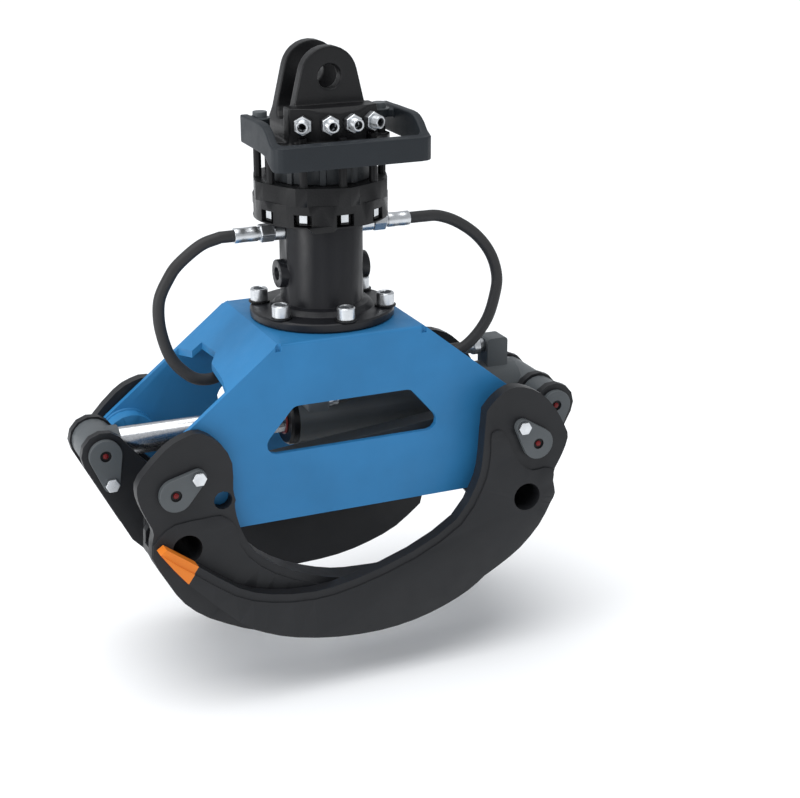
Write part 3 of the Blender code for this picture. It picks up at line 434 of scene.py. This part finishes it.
def soften(piece, width, segments=2):
    """Rounds the edges of a piece and keeps its flats flat."""
    bevel = piece.modifiers.new("round edges", "BEVEL")
    bevel.width = width * MM
    bevel.segments = segments
    bevel.limit_method = "ANGLE"
    bevel.angle_limit = SHARP
    bevel.harden_normals = True
    bevel.use_clamp_overlap = True


def make(name, mesh, slot, body, replaced=(), width=0.0):
    """A new piece from a mesh in millimetres."""
    for vert in mesh.verts:
        vert.co = world(vert.co)
    data = bpy.data.meshes.new(name)
    mesh.to_mesh(data)
    mesh.free()
    piece = add_piece(name, data, slot, body)
    if replaced:
        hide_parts(*replaced)
    if width:
        soften(piece, width)
    return piece


def merged(node):
    """A copy of a CAD node's mesh with its flat faces made whole."""
    mesh = bmesh.new()
    mesh.from_mesh(frame["nodes"][node].data)
    bmesh.ops.remove_doubles(mesh, verts=mesh.verts, dist=SAME_PLACE * MM)
    bmesh.ops.dissolve_limit(mesh, angle_limit=SAME_PLANE, verts=mesh.verts, edges=mesh.edges)
    large = [face for face in mesh.faces if len(face.verts) > 4]
    bmesh.ops.triangulate(mesh, faces=large, ngon_method="BEAUTY")
    data = bpy.data.meshes.new(f"{node}_finished")
    mesh.to_mesh(data)
    mesh.free()
    return data


def finished(node, width):
    """The CAD node's own shape with rounded edges and its finish."""
    piece = add_piece(f"{node}_finished", merged(node), SLOTS[node], BODIES[node])
    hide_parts(node)
    soften(piece, width)
    return piece


def cast(node, grid, passes, share):
    """The CAD node's shape as a casting: all its edges flow into each other."""
    piece = add_piece(f"{node}_cast", merged(node), SLOTS[node], BODIES[node])
    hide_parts(node)
    skin = piece.modifiers.new("skin", "REMESH")
    skin.mode = "VOXEL"
    skin.voxel_size = grid * MM
    skin.use_smooth_shade = True
    relax = piece.modifiers.new("relax", "SMOOTH")
    relax.factor = 0.5
    relax.iterations = passes
    thin = piece.modifiers.new("thin", "DECIMATE")
    thin.ratio = share
    return piece


def hoses():
    """Hoses along their CAD routes, round and smooth."""
    for name, route in HOSE_ROUTES.items():
        data = bpy.data.curves.new(name, "CURVE")
        data.dimensions = "3D"
        data.bevel_depth = HOSE_R * MM
        data.bevel_resolution = 6
        data.use_fill_caps = True
        points = [Vector(route[0]), *smooth(route[1:-1], 8), Vector(route[-1])]
        spline = data.splines.new("POLY")
        spline.points.add(len(points) - 1)
        for place, point in zip(spline.points, points):
            place.co = (*world(point), 1.0)
        curve = bpy.data.objects.new(f"{name}_curve", data)
        bpy.context.scene.collection.objects.link(curve)
        bpy.context.view_layer.update()
        mesh = bpy.data.meshes.new_from_object(curve.evaluated_get(
            bpy.context.evaluated_depsgraph_get()))
        bpy.data.objects.remove(curve)
        piece = add_piece(f"{name}_tube", mesh, "hose_rubber", BODIES[name])
        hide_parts(name)


def hose_fittings():
    """Adapter, hexagon nut and crimped ferrule of each hose at the shaft."""
    middle = (0.0, HOSE_PORT_HEIGHT)
    for name, (side, nut, ferrule, end) in HOSE_FITTINGS.items():
        base = turned([(8.0, 44.0), (8.0, SHAFT_FLAT + 0.3), (11.0, SHAFT_FLAT + 0.3),
                       (11.5, SHAFT_FLAT + 1.0), (11.5, nut - 1.0), (8.0, nut - 1.0)],
                      "X", middle, 48)
        hexagon = turned([(11.8, nut - 0.6), (12.9, nut + 0.6), (12.9, ferrule - 4.0),
                          (11.6, ferrule - 2.6), (9.0, ferrule - 2.6)], "X", middle, 6)
        collar = turned([(9.0, ferrule - 3.0), (9.0, ferrule), (8.6, ferrule)], "X", middle, 48)
        third = (end - ferrule) / 3
        profile = [(8.4, ferrule), (9.7, ferrule + 0.3), (10.0, ferrule + 0.9),
                   (10.0, ferrule + third), (9.8, ferrule + third + 0.6),
                   (9.8, ferrule + 2 * third), (10.0, ferrule + 2 * third + 0.6),
                   (10.0, end - 0.8), (9.6, end - 0.1), (8.1, end)]
        shell = turned(profile, "X", middle, 48)
        parts = [base, hexagon, collar, shell]
        if side < 0:
            parts = [swung(part, 180) for part in parts]
        make(f"hose_fitting_{name}_turned", joined(*parts), "zinc_plate", "rotor",
             (f"hose_fitting_{name}",), 0.3)


def flange_bolts():
    """Cap screws with a washer, a plain round head and a hexagon socket."""
    seat = FLANGE_T + 0.3
    for number in range(6):
        angle = math.radians(-30 + 60 * number)
        place = (FLANGE_BOLT_CIRCLE_R * math.cos(angle), FLANGE_BOLT_CIRCLE_R * math.sin(angle))
        washer = turned([(8.5, seat), (14.0, seat), (14.5, seat + 0.5), (14.5, seat + 2.0),
                         (14.0, seat + 2.5), (8.5, seat + 2.5)], "Z", place, 48, hollow=True)
        head = turned([(11.6, seat + 2.5), (12.0, seat + 3.0), (12.0, seat + 17.4),
                       (10.9, seat + 18.9), (8.6, seat + 18.9), (8.2, seat + 18.5),
                       (8.2, seat + 10.0), (0.01, seat + 9.0)], "Z", place, 48)
        socket = turned([(8.1, seat + 10.0), (8.1, seat + 18.0), (9.2, seat + 18.7),
                         (9.2, seat + 10.0)], "Z", place, 6, hollow=True)
        shank = turned([(8.0, -12.0), (8.0, seat + 3.0)], "Z", place, 32)
        make(f"flange_bolt_{number + 1}_turned", joined(head, socket, shank),
             "zinc_plate", "rotor", (f"flange_bolt_{number + 1}",))
        make(f"flange_washer_{number + 1}", washer, "black_paint", "rotor")


def facing(mesh, place, heading):
    return shifted(swung(mesh, heading), place)


def adapters():
    """Hexagon, collar and threaded nose of each adapter, fanned over the port block."""
    middle = (0.0, ADAPTER_HEIGHT)
    for number, (a, b) in enumerate(zip(PORT_FACETS, PORT_FACETS[1:]), 1):
        along = Vector(b) - Vector(a)
        centre = (Vector(a) + Vector(b)) / 2
        heading = math.degrees(math.atan2(along.y, along.x))
        hexagon = turned([(11.6, -9.8), (12.5, -8.9), (12.5, -1.2), (11.8, -0.3), (5.6, -0.3),
                          (5.6, -9.8)], "Y", middle, 6, hollow=True, turn=math.pi / 6)
        nose = [(5.5, -21.0), (7.4, -21.0), (8.0, -20.4)]
        for turn in range(5):
            start = -19.8 + 1.9 * turn
            nose += [(8.5, start), (8.5, start + 0.6), (7.8, start + 1.2)]
        nose += [(8.0, -9.5), (5.5, -9.5)]
        threads = turned(nose, "Y", middle, 48, hollow=True)
        stub = turned([(7.0, -2.0), (7.0, 9.5), (5.5, 9.5), (5.5, -2.0)], "Y", middle, 48,
                      hollow=True)
        parts = [facing(mesh, (*centre, 0.0), heading) for mesh in (hexagon, threads, stub)]
        make(f"hose_adapter_{number}_turned", joined(*parts), "zinc_plate", "stator",
             (f"hose_adapter_{number}",), 0.25)


def square_nuts():
    """Zinc nuts of the long tie bolts, in the pockets of the ring's band."""
    parts = []
    for angle in TIE_BOLT_ANGLES:
        nut = turned([(7.6, 79.0), (7.6, 86.4), (7.0, 87.0)], "X", (0.0, POCKET_HEIGHT), 4,
                     turn=math.pi / 4)
        parts.append(swung(nut, angle))
    make("square_nuts", joined(*parts), "zinc_plate", "stator", (), 0.4)


def guard_screws():
    """Cap screws that hold the guard on its posts."""
    parts = []
    for post in GUARD_POSTS:
        parts.append(turned([(9.4, GUARD_TAB_TOP), (9.4, GUARD_TAB_TOP + 9.0),
                             (8.8, GUARD_TAB_TOP + 9.6)], "Z", post, 48))
        parts.append(turned([(13.4, GUARD_TAB_TOP + 0.4), (13.4, GUARD_TAB_TOP + 1.9),
                             (9.2, GUARD_TAB_TOP + 1.9), (9.2, GUARD_TAB_TOP + 0.4)],
                            "Z", post, 48, hollow=True))
    make("guard_screws", joined(*parts), "grey_paint", "stator")


def flag_outline(centre, bolt, inset=0.0, steps=22):
    """Round ends about the pin and the bolt, joined by tangents."""
    away = Vector(bolt) - Vector(centre)
    heading = math.atan2(away.y, away.x)
    spread = math.acos((FLAG_R - FLAG_END_R) / away.length)
    outline = []
    for middle, radius, first, last in (
            (centre, FLAG_R, heading + spread, heading - spread + 2 * math.pi),
            (bolt, FLAG_END_R, heading - spread, heading + spread)):
        for step in range(steps + 1):
            angle = first + (last - first) * step / steps
            outline.append((middle[0] + (radius - inset) * math.cos(angle),
                            middle[1] + (radius - inset) * math.sin(angle)))
    return outline


def flagged_pins():
    """Pins welded to round-ended flags, each with a recess for its grease cap."""
    for flag in FLAGS:
        body = BODIES[flag.node]
        side = 1 if body == "claw_right" else -1
        out = 1 if flag.top > 0 else -1
        angle = math.radians(flag.bolt_angle)
        centre = (side * flag.pin[0], flag.pin[1])
        bolt = (side * (flag.pin[0] + flag.bolt_reach * math.cos(angle)),
                flag.pin[1] + flag.bolt_reach * math.sin(angle))
        outline, inner = (flag_outline(centre, bolt, inset) for inset in (0.0, FLAG_EDGE))
        # The recess has as many points as the outline, half of them on the bolt's side
        count = len(outline)
        heading = math.atan2(bolt[1] - centre[1], bolt[0] - centre[0])
        start = heading + math.pi - math.pi * (count / 2 - 1) / count
        recess, rim = (circle(centre, GREASE_RECESS_R + wider, count, start)
                       for wider in (0.0, FLAG_EDGE))
        base = flag.top - out * flag.thickness
        floor = flag.top - out * GREASE_RECESS_DEPTH
        edge = flag.top - out * FLAG_EDGE
        plate = lofted([(recess, floor), (recess, edge), (rim, flag.top), (inner, flag.top),
                        (outline, edge), (outline, base)], "Y")
        reaches = [vert.co.y / MM for vert in frame["nodes"][flag.node].data.vertices]
        end = max(reaches) if out < 0 else min(reaches)
        shank = turned([(flag.pin_r, base + out), (flag.pin_r, end)], "Y", centre, 48)
        make(f"{flag.node}_turned", joined(plate, shank), SLOTS[flag.node], body, (flag.node,))


def grease_caps():
    """A red cap in the middle of each flagged pin, and a near-black liner in its recess that is
    painted shade.
    """
    for body in ("claw_right", "claw_left"):
        side = 1 if body == "claw_right" else -1
        domes, shade_liners = [], []
        for flag in (flag for flag in FLAGS if BODIES[flag.node] == body):
            out = 1 if flag.top > 0 else -1
            base = flag.top - out * GREASE_RECESS_DEPTH
            dome = [(3.9, base), (3.9, base + out * 1.4), (3.4, base + out * 2.2),
                    (2.4, base + out * 2.8), (1.0, base + out * 3.0)]
            # A thin near-black liner on the recess's wall and floor: painted shade in the recess
            liner_profile = [(7.45, base), (7.45, flag.top - out * 0.3), (7.2, flag.top - out * 0.3),
                   (7.2, base + out * 0.4), (0.5, base + out * 0.4)]
            centre = (side * flag.pin[0], flag.pin[1])
            domes.append(turned(dome, "Y", centre, 32))
            shade_liners.append(turned(liner_profile, "Y", centre, 48))
        make(f"{body}_grease_caps", joined(*domes), "red_cap", body)
        make(f"{body}_recess_shade_linings", joined(*shade_liners), "recess_shade_paint", body)


def wiper_seal():
    """Red wiper ring where the chrome rod enters the gland."""
    profile = [(20.4, 0.0), (23.0, 0.0), (23.4, -1.4), (22.0, -2.4), (20.4, -2.4)]
    ring = turned([(radius, GLAND_FACE + depth) for radius, depth in profile],
                  "X", (CYLINDER_Y, LEVER_PIN[1]), 64, hollow=True)
    make("wiper_seal", ring, "red_cap", "barrel")


def weld_ring(centre, radius, y, side, size):
    """A bead round a tube that meets a plate's face at y, on the given side of it."""
    profile = []
    for step in range(7):
        angle = math.radians(90 * step / 6)
        profile.append((radius - 0.5 + size * math.cos(angle), y + side * size * math.sin(angle)))
    profile.append((radius - 0.5, y))
    return turned(profile, "Y", centre, 64, hollow=True)


def welds():
    """Beads at the cross tubes and at the hubs in the frame."""
    for body, side in (("claw_right", 1), ("claw_left", -1)):
        centre = (side * CROSS_TUBE[0], CROSS_TUBE[1])
        starts = LEVER_STARTS[body]
        beads = [weld_ring(centre, CROSS_TUBE_R, start, -1, TUBE_WELD) for start in starts]
        beads += [weld_ring(centre, CROSS_TUBE_R, start + LEVER_T, 1, TUBE_WELD)
                  for start in starts]
        make(f"{body}_welds", joined(*beads), "charcoal_paint", body)
    hubs = []
    for side in (-1, 1):
        for face in (-1, 1):
            pivot = (side * PIVOT[0], PIVOT[1])
            hubs.append(weld_ring(pivot, HUB_R, face * FRAME_INNER, -face, HUB_WELD))
    make("hub_welds", joined(*hubs), "blue_paint", "rotor")


def dress():
    """Every CAD node that shows gets a finished stand-in."""
    hoses()
    hose_fittings()
    flange_bolts()
    adapters()
    square_nuts()
    guard_screws()
    flagged_pins()
    grease_caps()
    wiper_seal()
    welds()
    cast("link_head", 1.3, 8, 0.45)
    cast("hose_guard", 1.2, 7, 0.5)
    done = {"link_head", "hose_guard", "hose_fitting_left", "hose_fitting_right",
            *HOSE_ROUTES, *(f"flange_bolt_{number}" for number in range(1, 7)),
            *(f"hose_adapter_{number}" for number in range(1, 5)), *(flag.node for flag in FLAGS)}
    for node in sorted(set(SLOTS) - done):
        piece = finished(node, PLATE_EDGE if "plate" in node else EDGE)
        if node in NODE_FINISHES:
            piece.data.materials[0] = FINISHES[NODE_FINISHES[node]]


camera()
dress()
studio()
bpy.context.view_layer.update()
